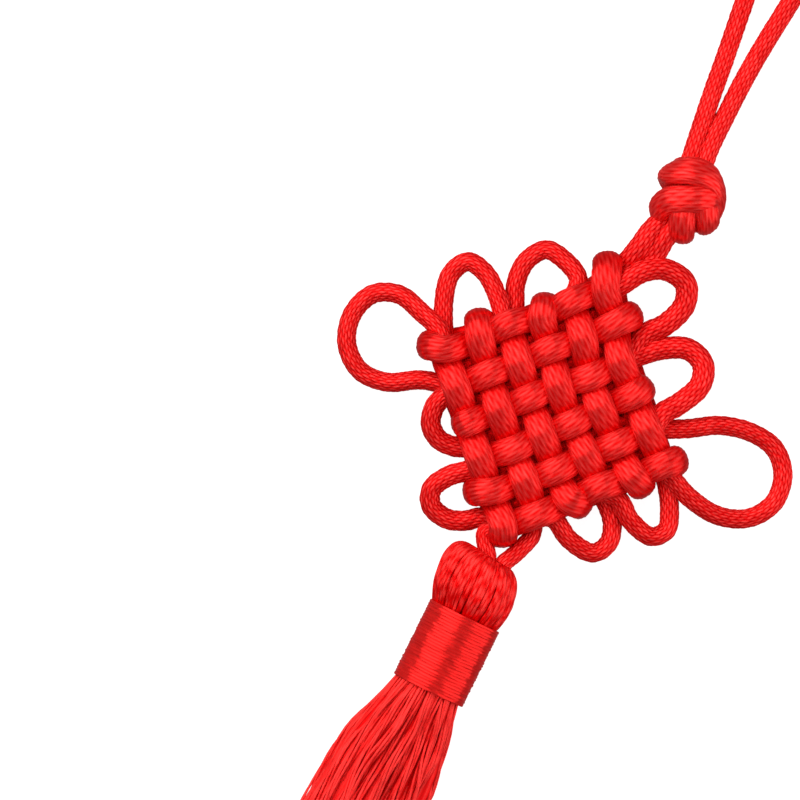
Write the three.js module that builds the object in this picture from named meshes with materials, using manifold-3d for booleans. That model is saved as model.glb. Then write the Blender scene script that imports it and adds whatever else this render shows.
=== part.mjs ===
// A knotted cord pendant with a tassel, lying on its back: a hanging loop, a button knot, a six by six
// endless knot with ten ears, and a tassel on the cord's bottom bight. Millimetres, +Z up, the loop
// towards +Y.
import * as THREE from "three";
import { mergeVertices } from "three/addons/utils/BufferGeometryUtils.js";
import Module from "manifold-3d";

const wasm = await Module();
wasm.setup();

// Driving sizes of the cord
const CORD = 2.4; // across the free satin cord
const CORD_SIDES = 8;
const MERGE = 1e-4; // points nearer than this are one

// The weave: columns climb to the right, rows fall to the right, and the middle of the weave is the
// design origin
const WEAVE = 6; // strands each way
const COLUMN_PITCH = 4.28;
const ROW_PITCH = 4.63;
const COLUMN_STEP_TURN = 47.8; // degrees from +X, the way from one column to the next
const ROW_STEP_TURN = -44.9; // degrees from +X, the way from one row to the next
const COLUMN_FLOAT_WIDTH = 3.4;
const ROW_FLOAT_WIDTH = 2.95;
const FLOAT_THICKNESS = 2.0; // a cord pressed flat by its neighbours
const LAYER = 1.86; // from one of the four stacked cords to the next
const OUTER = 1.5 * LAYER; // level of a float from the middle plane
const INNER = 0.5 * LAYER; // level of a strand that runs under a float
const MIDDLE = OUTER + FLOAT_THICKNESS / 2; // height of the middle plane: the lower floats lie at zero
const CREST_SHARE = 0.24; // half the level stretch of a float, as a share of its pitch
const DIVE_SHARE = 0.62; // where a float has gone under its neighbour
const DIVE_LEVEL = 1.05;
const DIVE_THICKNESS = 1.5;
const TURN_START = 0.3; // past the edge cell's middle, where a strand begins to turn from front to back
const TURN_REACH = 2.25;
const TURN_RINGS = 5;
const CORE_HALF = 1.9; // the pressed inner strands, as one plate
const CORE_MARGIN = 1.7; // past the middle of the edge cells
const CORE_CHAMFER = 1.2;
const FLOAT_SIDES = 6;

// Ears: each runs from one edge slot to another. A station is [along the edge, out from the edge] from the
// point half way between the two slots. rises is 1 where the ear leaves the back of the weave and returns
// to its front, and droop is how far its middle hangs below the middle plane.
const EARS = [
  { name: "left corner", from: ["top", 1], to: ["left", 2], rises: -1, droop: 1.7, stations:
    [[-3.9, 1.6], [-5.0, 4.6], [-5.9, 8.0], [-4.6, 11.1], [-1.3, 12.4], [2.4, 11.5], [4.8, 8.6],
      [4.7, 4.9], [2.6, 1.0]] },
  { name: "top first", from: ["top", 1], to: ["top", 3], rises: 1, droop: 0.6, stations:
    [[-3.3, 0.2], [-2.0, 3.8], [-0.2, 6.5], [2.3, 7.25], [3.9, 5.2], [4.4, 2.0], [4.3, -0.2]] },
  { name: "top second", from: ["top", 3], to: ["top", 5], rises: 1, droop: 0.6, stations:
    [[-2.5, -0.3], [-1.5, 2.2], [0.6, 4.5], [3.5, 5.1], [5.3, 3.0], [6.1, 0.3]] },
  { name: "right first", from: ["right", 1], to: ["right", 3], rises: 1, droop: 0.7, stations:
    [[-4.4, 0.2], [-4.9, 3.6], [-4.1, 6.3], [-1.6, 8.0], [0.8, 7.0], [2.3, 3.9], [2.6, 0.6]] },
  { name: "right second", from: ["right", 3], to: ["right", 5], rises: 1, droop: 0.6, stations:
    [[-4.6, -0.3], [-4.3, 2.8], [-3.0, 5.8], [-0.6, 6.8], [1.7, 5.5], [2.9, 2.2], [3.3, -0.3]] },
  { name: "right corner", from: ["right", 5], to: ["bottom", 6], rises: 1, droop: 1.9, stations:
    [[-3.6, 1.4], [-5.5, 4.6], [-6.7, 8.6], [-6.2, 12.0], [-3.8, 14.3], [-0.1, 14.8], [3.0, 12.8],
      [4.4, 9.2], [3.9, 5.0], [2.5, 1.8]] },
  { name: "bottom second", from: ["bottom", 4], to: ["bottom", 6], rises: -1, droop: 0.6, stations:
    [[-2.3, -0.3], [-1.7, 2.8], [0.1, 5.5], [2.2, 5.35], [3.5, 2.7], [4.0, 0.3]] },
  { name: "bottom first", from: ["bottom", 2], to: ["bottom", 4], rises: -1, droop: 0.6, stations:
    [[-2.2, -0.9], [-1.2, 2.1], [1.1, 4.7], [3.4, 4.1], [4.6, 1.9], [4.7, -0.3]] },
  { name: "left first", from: ["left", 2], to: ["left", 4], rises: -1, droop: 0.4, stations:
    [[-4.3, -1.4], [-3.5, 0.7], [-1.5, 2.15], [0.7, 1.9], [2.3, 0.3], [3.1, -1.2]] },
  { name: "left second", from: ["left", 4], to: ["left", 6], rises: -1, droop: 0.5, stations:
    [[-3.7, -0.8], [-3.9, 1.9], [-3.2, 4.5], [-1.3, 5.4], [0.9, 4.3], [2.0, 2.4], [2.6, -0.3]] },
];
const EAR_STEP = 2.1; // millimetres of cord to a step of the tube

// Button knot, in a frame of its own that is turned against the pendant: the bands are closed routes of
// [x, y, z] over a core
const BUTTON = { x: 3.6, y: 30.9, z: 4.5, turn: 26.3 };
const BUTTON_WIDTH = 3.5;
const BUTTON_THICKNESS = 1.9;
const BUTTON_CORE = [2.9, 3.6, 2.7];
const BUTTON_CORE_SEGMENTS = [10, 6];
const BUTTON_BANDS = [
  { name: "upper", steps: 18, route:
    [[-2.4, 3.1, 2.0], [0.2, 3.5, 3.2], [2.8, 2.8, 2.3], [3.75, 0.9, 0.2], [2.9, -0.9, -2.1],
      [0.2, 1.0, -3.35], [-2.3, 2.5, -2.0], [-3.0, 2.9, 0.1]] },
  { name: "middle", steps: 18, route:
    [[-3.8, -1.3, 0.2], [-2.4, -0.2, 2.6], [0.1, 0.0, 3.45], [2.2, 0.0, 2.7], [2.9, -0.6, 0.4],
      [1.8, -2.2, -2.2], [-0.6, -2.5, -3.0], [-3.0, -1.9, -1.9]] },
  { name: "lower", steps: 18, route:
    [[-0.8, -2.2, 2.9], [-0.9, -3.9, 1.7], [-0.9, -4.5, -0.2], [-0.8, -3.4, -2.2], [-1.2, 0.4, -3.3],
      [-1.0, 3.2, -2.3], [-0.4, 4.2, 0.0], [-0.2, 2.6, 1.4], [-0.4, 0.2, 1.9]] },
  { name: "side", steps: 16, route:
    [[2.2, -1.3, 2.4], [2.4, -2.7, 1.3], [2.3, -3.0, -0.3], [1.6, -2.0, -1.8], [1.2, 0.6, -2.0],
      [1.4, 2.6, -0.6], [1.6, 1.6, 1.0]] },
];

// Free runs of the cord, as [x, y, height] of its middle
const LIE = CORD / 2; // height of a cord that lies on the surface
const LOOP_ROUTE = [
  [1.9, 33.5, 4.3], [1.5, 36.4, 4.1], [0.6, 43.1, 2.4], [-0.2, 50.0, LIE], [-1.1, 57.0, LIE],
  [-2.6, 70.0, LIE], [-4.1, 84.0, LIE], [-4.7, 96.0, LIE], [-3.4, 106.0, LIE], [1.1, 110.6, LIE],
  [5.8, 106.4, LIE], [7.6, 96.5, LIE], [7.0, 84.0, LIE], [5.4, 70.0, LIE], [4.1, 58.0, LIE],
  [3.4, 50.0, LIE], [3.2, 43.3, 2.4], [3.25, 37.0, 4.1], [3.9, 33.5, 4.3],
];
const LOOP_STEPS = 42;
const TOP_LEFT_ROUTE = [
  [-1.7, 16.6, 3.2], [-0.1, 19.6, 3.6], [0.7, 22.6, 4.0], [1.2, 25.4, 4.2], [2.4, 28.4, 4.3],
];
const TOP_RIGHT_ROUTE = [
  [0.7, 17.9, 4.4], [2.0, 20.2, 4.3], [2.9, 22.9, 4.3], [3.1, 25.5, 4.4], [3.6, 28.6, 4.4],
];
const TOP_WIDTH = 2.2;
const TOP_STEPS = 8;
const BIGHT_ROUTE = [
  [-0.7, -17.6, 4.5], [0.1, -19.1, 4.6], [1.0, -20.4, 4.7], [1.3, -22.0, 4.8], [1.0, -24.0, 4.8],
  [2.3, -25.8, 4.8], [3.6, -24.0, 4.8], [3.0, -22.0, 4.7], [2.95, -20.3, 4.5], [3.75, -18.5, 4.1],
  [4.3, -17.0, 3.7], [4.7, -15.4, 3.3],
];
const BIGHT_WIDTH = 2.1;
const BIGHT_STEPS = 22;

// Tassel: its axis runs along Y at AXIS_X. Stations run down the tassel from the top of the head.
const AXIS_X = 1.6;
const HEAD_TOP = -20.2; // Y of the head's highest ring
const BINDING_TOP = -28.0;
const BINDING_BOTTOM = -38.4;
const BINDING_RADIUS = 4.8;
const BINDING_INNER = 4.3;
const BINDING_RIDGES = 5; // groups of thread turns that stand a little proud
const RIDGE = 0.12;
const GAP = 0.3;
const AROUND = 16; // sides of the head and the binding
const HEAD_PROFILE = [
  { down: 1.6, radius: 0 },
  { down: 0.9, radius: 2.0 },
  { down: 0.0, radius: 3.2 },
  { down: 0.3, radius: 4.1 },
  { down: 0.95, radius: 4.8 },
  { down: 2.2, radius: 5.25 },
  { down: 4.0, radius: 5.4 },
  { down: 5.6, radius: 5.25 },
  { down: 7.2, radius: 4.85 },
];
const HEAD_LEAN = -0.8; // the head's top stands to the left of its neck
const HEAD_TILT = 0.1; // its left shoulder is the higher one
const CORE_RADIUS = BINDING_INNER - GAP;
const CORE_STEP = 0.2; // between the head's underside and the core inside the binding
const SKIRT_LENGTH = 100; // below the binding
const LOCKS = 64;
const LOCK_SIDES = 4;
const LOCK_STATIONS = [
  { down: -1.0, half_width: 3.6, half_height: 3.6, width: 0.6, height: 0.6 },
  { down: 1.6, half_width: 4.1, half_height: 4.1, width: 0.64, height: 0.64 },
  { down: 12.5, half_width: 6.0, half_height: 3.9, width: 0.95, height: 0.6 },
  { down: 40, half_width: 7.3, half_height: 3.4, width: 1.1, height: 0.55 },
  { down: 72, half_width: 8.0, half_height: 3.1, width: 1.2, height: 0.5 },
  { down: SKIRT_LENGTH, half_width: 8.5, half_height: 2.9, width: 1.2, height: 0.48 },
];
const LIE_FROM = 5; // down the skirt, from where its lowest locks lie on the surface
const GOLDEN_TURN = Math.PI * (3 - Math.sqrt(5)); // spreads the locks evenly over the section
const SWIRL = 0.22; // radians that the skirt turns over its length
const LENGTH_SPREAD = 0.02; // lock ends differ by this share of the skirt
const LENGTH_BEAT = 2.3; // radians from one lock to the next in that spread

const UP = new THREE.Vector3(0, 0, 1);
const radians = THREE.MathUtils.degToRad;

// Vectors of the weave
const wayAt = (degrees) => new THREE.Vector3(Math.cos(radians(degrees)), Math.sin(radians(degrees)), 0);
const columnStep = wayAt(COLUMN_STEP_TURN);
const rowStep = wayAt(ROW_STEP_TURN);
const MIDDLE_STRAND = (WEAVE + 1) / 2;

function weavePoint(column, row) {
  return new THREE.Vector3(0, 0, MIDDLE)
    .addScaledVector(columnStep, (column - MIDDLE_STRAND) * COLUMN_PITCH)
    .addScaledVector(rowStep, (row - MIDDLE_STRAND) * ROW_PITCH);
}

// Edges of the weave: which cell a slot belongs to, and the way out
const EDGES = {
  top: { cell: (i) => [i, 1], out: rowStep.clone().negate() },
  bottom: { cell: (i) => [i, WEAVE], out: rowStep.clone() },
  left: { cell: (i) => [1, i], out: columnStep.clone().negate() },
  right: { cell: (i) => [WEAVE, i], out: columnStep.clone() },
};

function slotCell([edge, index]) {
  return weavePoint(...EDGES[edge].cell(index));
}

function slotPoint([edge, index]) {
  const pitch = edge === "top" || edge === "bottom" ? ROW_PITCH : COLUMN_PITCH;
  return slotCell([edge, index]).addScaledVector(EDGES[edge].out, pitch / 2);
}

// A closed triangle mesh as a solid
function solidOf(geometry) {
  const bare = geometry.clone();
  bare.deleteAttribute("normal");
  bare.deleteAttribute("uv");
  const merged = mergeVertices(bare, MERGE);
  return new wasm.Manifold(
    new wasm.Mesh({
      numProp: 3,
      vertProperties: new Float32Array(merged.attributes.position.array),
      triVerts: new Uint32Array(merged.index.array),
    }),
  );
}

function geometryOf(solid) {
  const mesh = solid.getMesh();
  return new THREE.BufferGeometry()
    .setAttribute("position", new THREE.BufferAttribute(new Float32Array(mesh.vertProperties), 3))
    .setIndex(new THREE.BufferAttribute(new Uint32Array(mesh.triVerts), 1));
}

// The sum of overlapping solids, with the small spaces shut in between them filled
function joined(solids) {
  const sum = solids.reduce((total, solid) => total.add(solid));
  return sum.decompose().reduce((outer, body) => (body.volume() > outer.volume() ? body : outer));
}

// Points of a unit section with a level top and bottom, one for each side
function unitSection(sides) {
  const shift = sides % 4 === 0 ? 0.5 : 0;
  const angles = Array.from({ length: sides }, (_, k) => ((k + shift) * 2 * Math.PI) / sides);
  const wide = Math.max(...angles.map(Math.cos));
  const high = Math.max(...angles.map(Math.sin));
  return angles.map((a) => [Math.cos(a) / wide, Math.sin(a) / high]);
}

// A tube through rings: each ring has a point, a width, a height, the way that its height points and, where
// it isn't the way to the next ring, the way it faces
function tube(rings, sides, closed = false) {
  const section = unitSection(sides);
  const count = rings.length;
  const position = [];
  rings.forEach((ring, i) => {
    const before = rings[closed ? (i + count - 1) % count : Math.max(i - 1, 0)].point;
    const after = rings[closed ? (i + 1) % count : Math.min(i + 1, count - 1)].point;
    const tangent = ring.facing ?? after.clone().sub(before).normalize();
    const side = tangent.clone().cross(ring.up).normalize();
    const rise = side.clone().cross(tangent);
    for (const [x, y] of section) {
      const vertex = ring.point
        .clone()
        .addScaledVector(side, (x * ring.width) / 2)
        .addScaledVector(rise, (y * ring.height) / 2);
      position.push(...vertex);
    }
  });
  const index = [];
  for (let i = 0; i < (closed ? count : count - 1); i += 1) {
    const here = i * sides;
    const next = ((i + 1) % count) * sides;
    for (let k = 0; k < sides; k += 1) {
      const l = (k + 1) % sides;
      index.push(here + k, next + k, here + l, here + l, next + k, next + l);
    }
  }
  if (!closed) {
    const last = (count - 1) * sides;
    for (let k = 1; k < sides - 1; k += 1) {
      index.push(0, k, k + 1);
      index.push(last, last + k + 1, last + k);
    }
  }
  const geometry = new THREE.BufferGeometry();
  geometry.setAttribute("position", new THREE.Float32BufferAttribute(position, 3));
  geometry.setIndex(index);
  return solidOf(geometry);
}

// A free cord of even section through control points
function cordAlong(points, width, steps) {
  const curve = new THREE.CatmullRomCurve3(points);
  const rings = curve.getSpacedPoints(steps).map((point) => {
    point.z = Math.max(point.z, width / 2);
    return { point, width, height: width, up: UP };
  });
  return tube(rings, CORD_SIDES);
}

function vectors(route) {
  return route.map((p) => new THREE.Vector3(...p));
}

// A float on one face: it rises from under one neighbour, lies over the crossing strand and dives again
function floatTube(middle, along, pitch, width, face) {
  const stations = [
    { share: -DIVE_SHARE, level: DIVE_LEVEL, height: DIVE_THICKNESS },
    { share: -CREST_SHARE, level: OUTER, height: FLOAT_THICKNESS },
    { share: CREST_SHARE, level: OUTER, height: FLOAT_THICKNESS },
    { share: DIVE_SHARE, level: DIVE_LEVEL, height: DIVE_THICKNESS },
  ];
  const rings = stations.map(({ share, level, height }) => ({
    point: middle.clone().addScaledVector(along, share * pitch).addScaledVector(UP, face * level),
    width,
    height,
    up: UP,
    facing: along,
  }));
  return tube(rings, FLOAT_SIDES);
}

// A strand at the edge: its front float turns round the edge and comes back as its back float
function turnTube(middle, out, pitch, width) {
  const at = (along, level) => middle.clone().addScaledVector(out, along).addScaledVector(UP, level);
  const faceRings = (face) => {
    const up = UP.clone().multiplyScalar(face);
    const facing = out.clone().multiplyScalar(face);
    return [
      { point: at(-DIVE_SHARE * pitch, face * DIVE_LEVEL), width, height: DIVE_THICKNESS, up, facing },
      { point: at(-CREST_SHARE * pitch, face * OUTER), width, height: FLOAT_THICKNESS, up, facing },
    ];
  };
  const bend = Array.from({ length: TURN_RINGS }, (_, i) => {
    const angle = Math.PI / 2 - (i * Math.PI) / (TURN_RINGS - 1);
    const facing = out.clone().multiplyScalar(Math.sin(angle)).addScaledVector(UP, -Math.cos(angle));
    return {
      facing,
      point: at(TURN_START + TURN_REACH * Math.cos(angle), OUTER * Math.sin(angle)),
      width,
      height: FLOAT_THICKNESS,
      up: out.clone().multiplyScalar(Math.cos(angle)).addScaledVector(UP, Math.sin(angle)),
    };
  });
  return tube([...faceRings(1), ...bend, ...faceRings(-1).reverse()], FLOAT_SIDES);
}

// The plate of pressed inner strands under the floats
function coreSolid() {
  const reach = (pitch) => ((WEAVE - 1) / 2) * pitch + CORE_MARGIN;
  const a = reach(COLUMN_PITCH);
  const b = reach(ROW_PITCH);
  const c = CORE_CHAMFER;
  const corners = [
    [a - c, -b], [a, c - b], [a, b - c], [a - c, b], [c - a, b], [-a, b - c], [-a, c - b], [c - a, -b],
  ];
  const outline = corners.map(([u, v]) => {
    const p = new THREE.Vector3().addScaledVector(columnStep, u).addScaledVector(rowStep, v);
    return new THREE.Vector2(p.x, p.y);
  });
  const shape = new THREE.Shape(outline);
  const plate = new THREE.ExtrudeGeometry(shape, { depth: 2 * CORE_HALF, bevelEnabled: false });
  plate.translate(0, 0, MIDDLE - CORE_HALF);
  return solidOf(plate);
}

// The strand that lies over a cell: a column where column plus row is odd, and a row where it is even
function strandOver(column, row) {
  if ((column + row) % 2 === 1) {
    const turnPlace = column % 2 === 1 ? WEAVE : 1;
    return { way: rowStep, pitch: ROW_PITCH, width: COLUMN_FLOAT_WIDTH, place: row, turnPlace };
  }
  const turnPlace = row % 2 === 0 ? WEAVE : 1;
  return { way: columnStep, pitch: COLUMN_PITCH, width: ROW_FLOAT_WIDTH, place: column, turnPlace };
}

function weaveSolids() {
  const solids = [coreSolid()];
  for (let column = 1; column <= WEAVE; column += 1) {
    for (let row = 1; row <= WEAVE; row += 1) {
      const middle = weavePoint(column, row);
      const { way, pitch, width, place, turnPlace } = strandOver(column, row);
      if (place === turnPlace) {
        const out = way.clone().multiplyScalar(turnPlace === WEAVE ? 1 : -1);
        solids.push(turnTube(middle, out, pitch, width));
      } else {
        solids.push(floatTube(middle, way, pitch, width, 1));
        solids.push(floatTube(middle, way, pitch, width, -1));
      }
    }
  }
  return solids;
}

// An ear from the cell under one float, out through its stations, and back under another float
function earSolid({ from, to, rises, droop, stations }) {
  const first = slotPoint(from);
  const last = slotPoint(to);
  const out = EDGES[from[0]].out.clone().add(EDGES[to[0]].out).normalize();
  const along = new THREE.Vector3(-out.y, out.x, 0);
  if (last.clone().sub(first).dot(along) < 0) along.negate();
  const base = first.add(last).multiplyScalar(0.5);
  const points = [
    slotCell(from),
    ...stations.map(([a, o]) => base.clone().addScaledVector(along, a).addScaledVector(out, o)),
    slotCell(to),
  ];
  points.forEach((point, i) => {
    const turn = (Math.PI * i) / (points.length - 1);
    point.z = MIDDLE - rises * INNER * Math.cos(turn) - droop * Math.sin(turn);
  });
  const length = new THREE.CatmullRomCurve3(points).getLength();
  return cordAlong(points, CORD, Math.round(length / EAR_STEP));
}

// The button knot: bands laid over a core
function buttonSolids() {
  const place = new THREE.Matrix4()
    .makeTranslation(BUTTON.x, BUTTON.y, BUTTON.z)
    .multiply(new THREE.Matrix4().makeRotationZ(radians(BUTTON.turn)));
  const middle = new THREE.Vector3(BUTTON.x, BUTTON.y, BUTTON.z);
  const bands = BUTTON_BANDS.map(({ steps, route }) => {
    const curve = new THREE.CatmullRomCurve3(vectors(route), true);
    const rings = curve.getSpacedPoints(steps).slice(0, -1).map((p) => {
      const point = p.applyMatrix4(place);
      const up = point.clone().sub(middle).normalize();
      return { point, width: BUTTON_WIDTH, height: BUTTON_THICKNESS, up };
    });
    return tube(rings, FLOAT_SIDES, true);
  });
  const core = new THREE.SphereGeometry(1, ...BUTTON_CORE_SEGMENTS);
  core.scale(...BUTTON_CORE);
  core.applyMatrix4(place);
  return [solidOf(core), ...bands];
}

// The bottom bight's two legs, which meet at its lowest ring and press together above it, with more girth
// where they are used to cut their pockets in the tassel's head
function bightLegs(extra = 0) {
  const route = [slotCell(["left", WEAVE]), ...vectors(BIGHT_ROUTE), slotCell(["bottom", 2])];
  route[0].z = MIDDLE + INNER;
  route[route.length - 1].z = MIDDLE - INNER;
  const width = BIGHT_WIDTH + extra;
  const points = new THREE.CatmullRomCurve3(route).getSpacedPoints(BIGHT_STEPS);
  const rings = points.map((point, i) => {
    const before = points[Math.max(i - 1, 0)];
    const after = points[Math.min(i + 1, BIGHT_STEPS)];
    return { point, width, height: width, up: UP, facing: after.clone().sub(before).normalize() };
  });
  const lowest = points.reduce((low, point, i) => (point.y < points[low].y ? i : low), 0);
  return [tube(rings.slice(0, lowest + 1), CORD_SIDES), tube(rings.slice(lowest), CORD_SIDES)];
}

function knottedCord() {
  const topLeft = [weavePoint(5, 1).setZ(MIDDLE - INNER), ...vectors(TOP_LEFT_ROUTE)];
  const topRight = [weavePoint(WEAVE, 1).setZ(MIDDLE + INNER), ...vectors(TOP_RIGHT_ROUTE)];
  return joined([
    ...weaveSolids(),
    ...EARS.map(earSolid),
    cordAlong(topLeft, TOP_WIDTH, TOP_STEPS),
    cordAlong(topRight, TOP_WIDTH, TOP_STEPS),
    ...buttonSolids(),
    cordAlong(vectors(LOOP_ROUTE), CORD, LOOP_STEPS),
    ...bightLegs(),
  ]);
}

// A turned shape about the tassel's axis, made level underneath and pressed to the given height
function turned(profile, halfHeight, sides = AROUND) {
  const geometry = new THREE.LatheGeometry(profile.map(([r, y]) => new THREE.Vector2(r, y)), sides);
  geometry.rotateY(Math.PI / sides);
  const widest = Math.max(...profile.map(([r]) => r));
  geometry.scale(1, 1, halfHeight / (widest * Math.cos(Math.PI / sides)));
  geometry.translate(AXIS_X, 0, halfHeight);
  return geometry;
}

const AXIS_HEIGHT = BINDING_RADIUS * Math.cos(Math.PI / AROUND);

function bindingGeometry() {
  const length = BINDING_TOP - BINDING_BOTTOM;
  const outer = [[BINDING_INNER, BINDING_BOTTOM]];
  for (let i = 0; i < BINDING_RIDGES; i += 1) {
    const start = BINDING_BOTTOM + (i * length) / BINDING_RIDGES;
    outer.push([BINDING_RADIUS - RIDGE, start]);
    outer.push([BINDING_RADIUS, start + length / (2 * BINDING_RIDGES)]);
  }
  outer.push([BINDING_RADIUS - RIDGE, BINDING_TOP], [BINDING_INNER, BINDING_TOP]);
  outer.push([BINDING_INNER, BINDING_BOTTOM]);
  return turned(outer, AXIS_HEIGHT);
}

// Head: the fold of the hank, wide above the binding and narrow inside it
function headSolid() {
  const profile = HEAD_PROFILE.map(({ down, radius }) => [radius, HEAD_TOP - down]);
  profile.push([CORE_RADIUS + CORE_STEP, BINDING_TOP + GAP], [CORE_RADIUS, BINDING_TOP + GAP - CORE_STEP]);
  profile.push([CORE_RADIUS, BINDING_BOTTOM + CORE_STEP], [0, BINDING_BOTTOM + CORE_STEP]);
  const geometry = turned(profile.reverse(), AXIS_HEIGHT);
  const position = geometry.attributes.position;
  for (let i = 0; i < position.count; i += 1) {
    const above = Math.max(0, (position.getY(i) - BINDING_TOP) / (HEAD_TOP - BINDING_TOP));
    position.setY(i, position.getY(i) - HEAD_TILT * above * (position.getX(i) - AXIS_X));
    position.setX(i, position.getX(i) + HEAD_LEAN * above);
  }
  return solidOf(geometry);
}

// A lock of the skirt, at a place of the even spread over the section
function lockSolid(index) {
  const share = Math.sqrt((index + 0.5) / LOCKS);
  const turn = index * GOLDEN_TURN;
  const stretch = 1 - LENGTH_SPREAD * (0.5 + 0.5 * Math.sin(index * LENGTH_BEAT));
  const rings = LOCK_STATIONS.map(({ down, half_width, half_height, width, height }) => {
    const angle = turn + SWIRL * (down / SKIRT_LENGTH);
    const x = AXIS_X + half_width * share * Math.cos(angle);
    const rise = half_height * share * Math.sin(angle);
    const middle = down < LIE_FROM ? AXIS_HEIGHT : half_height + height / 2;
    const point = new THREE.Vector3(x, BINDING_BOTTOM - down * stretch, middle + rise);
    return { point, width, height, up: UP };
  });
  return tube(rings, LOCK_SIDES);
}

function tasselSolid() {
  const head = bightLegs(2 * GAP).reduce((solid, leg) => solid.subtract(leg), headSolid());
  return joined([head, ...Array.from({ length: LOCKS }, (_, i) => lockSolid(i))]);
}

const satin = new THREE.MeshStandardMaterial({ color: 0xd81418, roughness: 0.42, metalness: 0 });
const floss = new THREE.MeshStandardMaterial({ color: 0xe01a1c, roughness: 0.5, metalness: 0 });
const thread = new THREE.MeshStandardMaterial({ color: 0xcf1216, roughness: 0.38, metalness: 0 });

function namedMesh(name, geometry, material) {
  const mesh = new THREE.Mesh(geometry, material);
  mesh.name = name;
  return mesh;
}

const pendant = new THREE.Group();
pendant.add(
  namedMesh("knotted_cord", geometryOf(knottedCord()), satin),
  namedMesh("tassel", geometryOf(tasselSolid()), floss),
  namedMesh("tassel_binding", bindingGeometry(), thread),
);

// The origin is the middle of the underside of the whole pendant
const bounds = new THREE.Box3().setFromObject(pendant);
const centre = bounds.getCenter(new THREE.Vector3());
pendant.position.set(-centre.x, -centre.y, -bounds.min.z);

export default pendant;
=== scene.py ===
import math

import bpy
import numpy as np
from mathutils import Matrix, Vector


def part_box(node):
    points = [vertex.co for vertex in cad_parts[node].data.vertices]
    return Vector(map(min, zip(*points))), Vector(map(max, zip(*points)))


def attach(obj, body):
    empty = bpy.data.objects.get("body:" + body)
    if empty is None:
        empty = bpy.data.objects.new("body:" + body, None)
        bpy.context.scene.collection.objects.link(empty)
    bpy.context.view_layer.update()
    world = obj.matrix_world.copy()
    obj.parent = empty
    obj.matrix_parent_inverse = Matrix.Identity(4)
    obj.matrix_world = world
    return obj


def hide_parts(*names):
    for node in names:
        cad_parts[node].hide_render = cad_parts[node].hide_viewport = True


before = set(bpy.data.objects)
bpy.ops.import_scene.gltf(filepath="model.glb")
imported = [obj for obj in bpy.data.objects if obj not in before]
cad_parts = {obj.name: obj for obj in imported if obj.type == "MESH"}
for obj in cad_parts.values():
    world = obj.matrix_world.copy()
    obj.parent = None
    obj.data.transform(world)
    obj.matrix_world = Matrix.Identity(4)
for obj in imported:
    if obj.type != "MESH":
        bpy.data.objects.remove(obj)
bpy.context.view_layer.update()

# Sizes are millimetres in the design frame. Its origin is the weave's middle, and +Y runs to the loop.
MM = 0.001

# The photograph's directions
ROLL = math.radians(26.3)
RIGHT = Vector((math.cos(ROLL), math.sin(ROLL), 0))
UPWARD = Vector((-math.sin(ROLL), math.cos(ROLL), 0))

# Smooth curves: points from one station to the next
SPAN_STEPS = 20
FACE_STEPS = 16  # on a strand's run over one face of the weave
COLUMN_STEPS = 12  # where a column of a station table is read between its rows

# The cord
CORD = 2.4
LIE = CORD / 2  # height of a cord's middle where it lies on the floor
RING_STEP = 0.26
FREE_TWIST = 0.03  # radians to the millimetre at most, either way
NOISE_START = 500  # a thread's filaments start anywhere in this length of the noise
WAVE_START = 6  # and its waves anywhere in this angle, about a whole turn

# Braided surfaces. A wale is a column of stitches along the cord, with a few points across it. Slant is how
# far a stitch runs sideways, in wales, and the slit shade is how far the slits between stitches are painted
# dark, as shade. Shade scales a kind's whole painted light and shade.
BRAID = {"wales": 20, "points": 3, "stitch": 1.15, "slant": 0.25, "depth": 0.16, "slit_shade": 1.0,
         "shade": 1.06, "squareness": 0.0}
FLOAT = {"wales": 22, "points": 2, "stitch": 1.7, "slant": 0.12, "depth": 0.08, "slit_shade": 0.6,
         "shade": 1.0, "squareness": 0.08}
# The inner passes are painted dark, as shade in the eyes between the floats
INNER_PASS = {**FLOAT, "shade": 0.35}
STITCH_JITTER = 0.06  # how far a wale's stitches start off their even place, in stitches
STITCH_END = 0.4  # a stitch's height at its ends, as a share of its middle's
STITCH_POWER = 1.2  # over 1, a stitch is narrower than a sine's arch
STITCH_LOW, STITCH_RANGE = 0.85, 0.25  # the lowest stitch's height, and how much more the highest has
SLIT_RISE = 0.45  # height of the slit between wales, where a stitch ends
SLIT_SPREAD, SLIT_FLOOR = 1.5, 0.4  # how soon the slit goes down beside a stitch
WALE_POWER = 0.3  # under 1, a wale's back is broader than a sine's arch
MEAN_RELIEF = 0.7  # the relief that lies at the cord's own width

# The weave
WEAVE = 6
COLUMN_PITCH = 4.28
ROW_PITCH = 4.63
COLUMN_STEP_TURN = math.radians(47.8)  # from +X to the way from one column to the next
ROW_STEP_TURN = math.radians(-44.9)
COLUMN_FLOAT_WIDTH = 3.6
ROW_FLOAT_WIDTH = 3.4
UNDER_SHARE = 0.97  # of the float's width where a strand passes under
FLOAT_THICKNESS = 2.05
FLOAT_TWIST = 0.13  # radians to the millimetre
FLOAT_STEP = 0.29
TURN_WIDTH = 3.85
TURN_THICKNESS = 3.2
TURN_START = 0.3  # from the last crossing to where a turn bends
TURN_REACH = 1.85  # and from there to its tip
TURN_STEPS = 8  # rings from a turn's start to its tip
BACK_SHARES = (0.3, 0.75)  # of a turn's sideways place, for the last two crossings on the back
LAYER = 1.86  # height from one of the weave's four layers to the next
OUTER = 1.5 * LAYER
INNER = 0.5 * LAYER
MIDDLE = 3.79  # height of the weave's middle
CREST_POWER = 0.9  # under 1, a float's back is broader than a cosine's
UNDER_PAINTED_SHADE = 0.6  # how far a strand is painted darker where it passes under, as shade
TIP_PAINTED_SHADE = 0.35  # and at the tip of its turn, also painted shade
FILLER = 2.1  # width of the inner passes that close the eyes between the floats
FILLER_STEP = 3.0

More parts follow.
